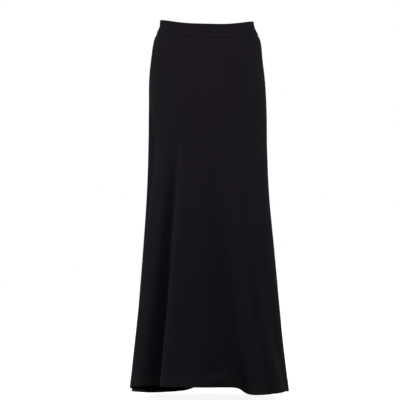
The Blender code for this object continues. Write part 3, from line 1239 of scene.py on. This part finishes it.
@dataclass(frozen=True)
class SideAllowance:
    """The cut edges of one side seam, overlocked together and pressed to the back."""

    sewing: Sewing
    overlock: Overlock
    cloth: Material
    side: str
    seam_angle: float
    to_back: int  # +1 where the back lies at larger angles than the seam, else -1
    end_gap: float = 0.4 * MM
    columns: int = 6
    rows: int = 150

    @property
    def depth(self) -> float:
        """Of its inner face behind the panels' face."""
        return self.sewing.wall + self.sewing.clearance + self.sewing.allowance_wall

    def heights(self, steps: int) -> Array:
        """Places up from the hem, in even steps from its upper end to its lower."""
        top = self.sewing.form.panel_length - self.sewing.allowance - self.end_gap
        return np.linspace(top, self.sewing.hem_turn + self.end_gap, steps + 1)

    def points(self, aside: Array, heights: Array, depths: Array) -> Array:
        """Points at distances aside from the seam towards the back."""
        turned = aside / self.sewing.radii(0 * heights + self.seam_angle, heights)
        return self.sewing.under_panels(self.seam_angle + self.to_back * turned, heights, depths)

    def across(self, aside: Array, heights: Array) -> Array:
        """Metres across the flat cloth, which are the distances from the seam."""
        return aside + 0 * heights

    def edge_at(self, inset: float, lift: float) -> Array:
        """Points down the cut edge.

        Args:
            inset: how far in from the edge they are.
            lift: how far off the cloth, towards the wearer.

        Returns:
            The points.
        """
        heights = self.heights(4 * self.rows - 1)
        aside = self.sewing.allowance - inset + 0 * heights
        return self.points(aside, heights, self.depth + lift + 0 * heights)

    def build(self) -> list[Object]:
        """Makes the allowance and its overlock stitch.

        Returns:
            The two pieces.
        """
        heights = self.heights(self.rows)
        sheet = Sheet(
            columns=np.linspace(0, self.sewing.allowance, self.columns + 1),
            rows=np.column_stack([heights, 0 * heights + self.depth, heights]),
            points=self.points,
            across=self.across,
            wall=self.sewing.allowance_wall,
            face=self.cloth,
            reverse=self.cloth,
            looks=Looks.IN,
        )
        layers = sheet.build(f"{self.side}_seam_allowance")
        return [layers, self.overlock.sew(f"{self.side}_seam_overlock", self.edge_at)]


@dataclass(frozen=True)
class WaistAllowance:
    """The cut edges of the waist seam, overlocked together and pressed down inside."""

    band: Waistband
    overlock: Overlock
    cloth: Material
    wall: float = 1.8 * MM
    depth: float = 3.3 * MM  # of its inner face behind the worn form
    upper_end: float = 4.2 * MM  # both ends are below the seam
    lower_end: float = 7.6 * MM
    waist_radius: float = 0.13  # about, for its place on the flat cloth
    columns: int = 220
    rows: int = 2
    stitch_end: float = 0.01  # the angle that the stitch leaves free beside the join
    samples: int = 1600

    def across(self, angles: Array, heights: Array) -> Array:
        """Metres across the flat cloth."""
        return angles * self.waist_radius + 0 * heights

    def edge_at(self, inset: float, lift: float) -> Array:
        """Points round the band's inner edge.

        Args:
            inset: how far up from the edge they are.
            lift: how far off the cloth, towards the wearer.

        Returns:
            The points.
        """
        turn = np.linspace(self.stitch_end, math.tau - self.stitch_end, self.samples)
        height, depth, _ = self.band.rows()[-1]
        angles = self.band.join_angle + turn
        return self.band.points(angles, height + inset + 0 * turn, depth + lift + 0 * turn)

    def build(self) -> list[Object]:
        """Makes the layers between the panels and the band's inner edge, and the stitch.

        Returns:
            The two pieces.
        """
        heights = np.linspace(-self.upper_end, -self.lower_end, self.rows + 1)
        sheet = Sheet(
            columns=np.linspace(0, math.tau, self.columns + 1),
            rows=np.column_stack([heights, 0 * heights + self.depth, heights]),
            points=self.band.points,
            across=self.across,
            wall=self.wall,
            face=self.cloth,
            reverse=self.cloth,
            looks=Looks.IN,
        )
        layers = sheet.build("waist_seam_allowance")
        return [layers, self.overlock.sew("waist_seam_overlock", self.edge_at)]


@dataclass(frozen=True)
class BlindHem:
    """The hem's sewing: its overlocked edge and the catches that hold it to the cloth."""

    sewing: Sewing
    overlock: Overlock
    catch_step: float = CATCH_MM * MM
    catch_width: float = 5 * MM
    catch_rise: float = 1.2 * MM
    catch_inset: float = 3 * MM
    thread: float = 0.28 * MM
    samples: int = 3000

    def around(self, height: float, depth: float) -> Array:
        """Points round the hem, at one height above it and one depth behind the cloth."""
        angles = np.linspace(0, math.tau, self.samples)
        return self.sewing.under_panels(angles, height + 0 * angles, depth + 0 * angles)

    def edge_at(self, inset: float, lift: float) -> Array:
        """Points round the turned-up edge, at an inset from it and a lift off the cloth."""
        return self.around(self.sewing.hem_turn - inset, 2 * self.sewing.turn_radius + lift)

    def build(self) -> list[Object]:
        """Makes the overlock stitch, and the catches in a zigzag between the edge and the cloth.

        Returns:
            The two pieces.
        """
        overlock = self.overlock.sew("hem_overlock", self.edge_at)
        at = stations_along(self.edge_at(0.0, 0.0), self.catch_step)
        aside = self.catch_width / 2 / self.catch_step * (at[1] - at[0])
        held = self.edge_at(self.catch_inset, self.thread)
        caught = self.around(self.sewing.hem_turn + self.catch_rise, self.sewing.wall)
        before, after = (
            between(held, np.clip(at + way * aside, 0, self.samples - 1)) for way in (-1, 1)
        )
        path = np.stack([before, between(caught, at), after], axis=1).reshape(-1, 3)
        material = self.overlock.material
        return [overlock, thread_object("hem_catch_stitches", [path], self.thread, material)]


# ---------------------------------------------------------------- the studio
@dataclass(frozen=True)
class SoftBox:
    """A studio soft box, by its place, its width and height, its power and its aim.

    spread is the angle in degrees that its grid lets light out over.
    """

    name: str
    place: tuple[float, float, float]
    size: tuple[float, float]
    watts: float
    aim: tuple[float, float, float] = (0.0, 0.0, -0.45)
    spread: float = 180.0

    def build(self) -> None:
        """Hangs the light."""
        light = bpy.data.lights.new(self.name, "AREA")
        light.shape = "RECTANGLE"
        light.size, light.size_y = self.size
        light.energy = self.watts
        light.spread = math.radians(self.spread)
        lamp = put(self.name, light)
        lamp.location = self.place
        to_aim = Vector(self.aim) - Vector(self.place)
        lamp.rotation_euler = to_aim.to_track_quat("-Z", "Y").to_euler()


SOFT_BOXES = (
    SoftBox("left_key", (-2.6, -1.25, 0.4), (1.0, 1.8), 35.0, (0.0, 0.0, -0.3)),
    SoftBox("front_left", (-1.45, -2.5, 0.45), (1.0, 1.8), 9.0, (0.0, 0.0, -0.3)),
    SoftBox("right_key", (1.0, -0.95, 0.15), (0.6, 0.5), 1.7, (0.05, 0.0, -0.3), 80.0),
    SoftBox("overhead", (0.1, -0.95, 1.5), (1.6, 0.6), 9.0, (0.0, -0.2, -0.4)),
    SoftBox("left_rim", (-2.6, 1.0, 0.6), (0.8, 2.2), 8.0),
    SoftBox("right_rim", (2.6, 1.0, 0.9), (0.8, 0.8), 9.0, (0.0, 0.0, -0.3)),
    SoftBox("back", (0.3, 3.2, 0.4), (0.8, 1.6), 22.0),
)


@dataclass(frozen=True)
class Studio:
    """A pale floor, white surroundings, soft boxes and a level camera in front."""

    floor_level: float = -1.018
    floor_size: float = 14.0
    camera_distance: float = 5.5
    view_size: float = 1.0967  # the width of what the camera sees at the skirt's middle
    view_centre: tuple[float, float] = (-0.0195, -0.4716)
    sensor: float = 36.0
    surroundings: float = 0.08
    soft_boxes: tuple[SoftBox, ...] = SOFT_BOXES

    def stand_camera(self) -> None:
        """Stands the camera level, in front of the skirt's middle."""
        lens = bpy.data.cameras.new("camera")
        lens.sensor_width = self.sensor
        lens.lens = self.sensor * self.camera_distance / self.view_size
        camera = put("camera", lens)
        x, z = self.view_centre
        camera.location = (x, -self.camera_distance, z)
        camera.rotation_euler = (math.pi / 2, 0.0, 0.0)
        bpy.context.scene.camera = camera

    def lay_floor(self) -> None:
        """Lays the floor, just below the lowest point of the hem."""
        shape = bmesh.new()
        bmesh.ops.create_grid(shape, x_segments=1, y_segments=1, size=self.floor_size / 2)
        bmesh.ops.translate(shape, verts=shape.verts, vec=(0.0, 0.0, self.floor_level))
        floor = put_mesh("studio_floor", shape)
        floor.data.materials.append(StudioFloorFinish().build())

    def surround(self) -> None:
        """Makes the surroundings white to look at and dimmer as a light."""
        world = bpy.data.worlds.new("white_surroundings")
        world.use_nodes = True
        world.node_tree.nodes.clear()
        add = partial(add_node, world.node_tree)
        seen = add("LightPath").outputs["Is Camera Ray"]
        strength = add("MapRange", Value=seen, To_Min=self.surroundings, To_Max=1.0)
        white = add("Background", Color=linear("#ffffff"), Strength=strength)
        add("OutputWorld", Surface=white)
        bpy.context.scene.world = world

    def build(self) -> None:
        """Sets up the whole studio."""
        self.stand_camera()
        self.lay_floor()
        self.surround()
        for soft_box in self.soft_boxes:
            soft_box.build()
        bpy.context.scene.view_settings.view_transform = "Standard"


# ---------------------------------------------------------------- the whole skirt
@dataclass(frozen=True)
class MaxiSkirt:
    """The skirt as its sewn pieces, with what each cut piece measures with all its allowances."""

    sewing: Sewing
    band_cut: tuple[float, float] = (0.724, 0.092)
    front_cut: tuple[float, float] = (0.756, 1.017)
    front_area: float = 0.552
    back_cut: tuple[float, float] = (0.751, 1.036)
    back_area: float = 0.572

    def build(self) -> list[Object]:
        """Returns:
            The pieces.
        """
        sewing, finishes = self.sewing, Finishes.build()
        overlock, inside = Overlock(finishes.thread), finishes.reverse
        band = Waistband(sewing, finishes)
        band_cloth = band.build()
        front_cloth, back_cloth = (Panel(sewing, finishes, side).build() for side in Side)
        at_sides = [
            *SideAllowance(sewing, overlock, inside, "right", seam_angle=0.0, to_back=1).build(),
            *SideAllowance(sewing, overlock, inside, "left", seam_angle=math.pi, to_back=-1).build(),
        ]
        at_waist = WaistAllowance(band, overlock, inside).build()
        at_hem = BlindHem(sewing, overlock).build()
        for piece, solid, slot in (
            (band_cloth, "waistband", "band_jersey"),
            (front_cloth, "front_panel", "front_jersey"),
            (back_cloth, "back_panel", "back_jersey"),
        ):
            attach(piece, BODY)
            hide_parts(solid)
        for piece in at_sides + at_waist + at_hem:
            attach(piece, BODY)
        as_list(at_waist)
        for piece, flat, area, sewn_on in (
            (front_cloth, self.front_cut, self.front_area, []),
            (back_cloth, self.back_cut, self.back_area, at_sides + at_hem),
        ):
            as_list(sewn_on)
        return [band_cloth, front_cloth, back_cloth, *at_sides, *at_waist, *at_hem]


def main() -> None:
    """Loads the frame, builds the skirt and the studio, and logs each piece's count of faces."""
    logging.basicConfig(level=logging.INFO, format="%(name)s: %(message)s")
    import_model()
    for piece in MaxiSkirt(Sewing(WornForm())).build():
        LOG.info("%s: %d faces", piece.name, len(piece.data.polygons))
    Studio().build()


if __name__ == "__main__":
    main()
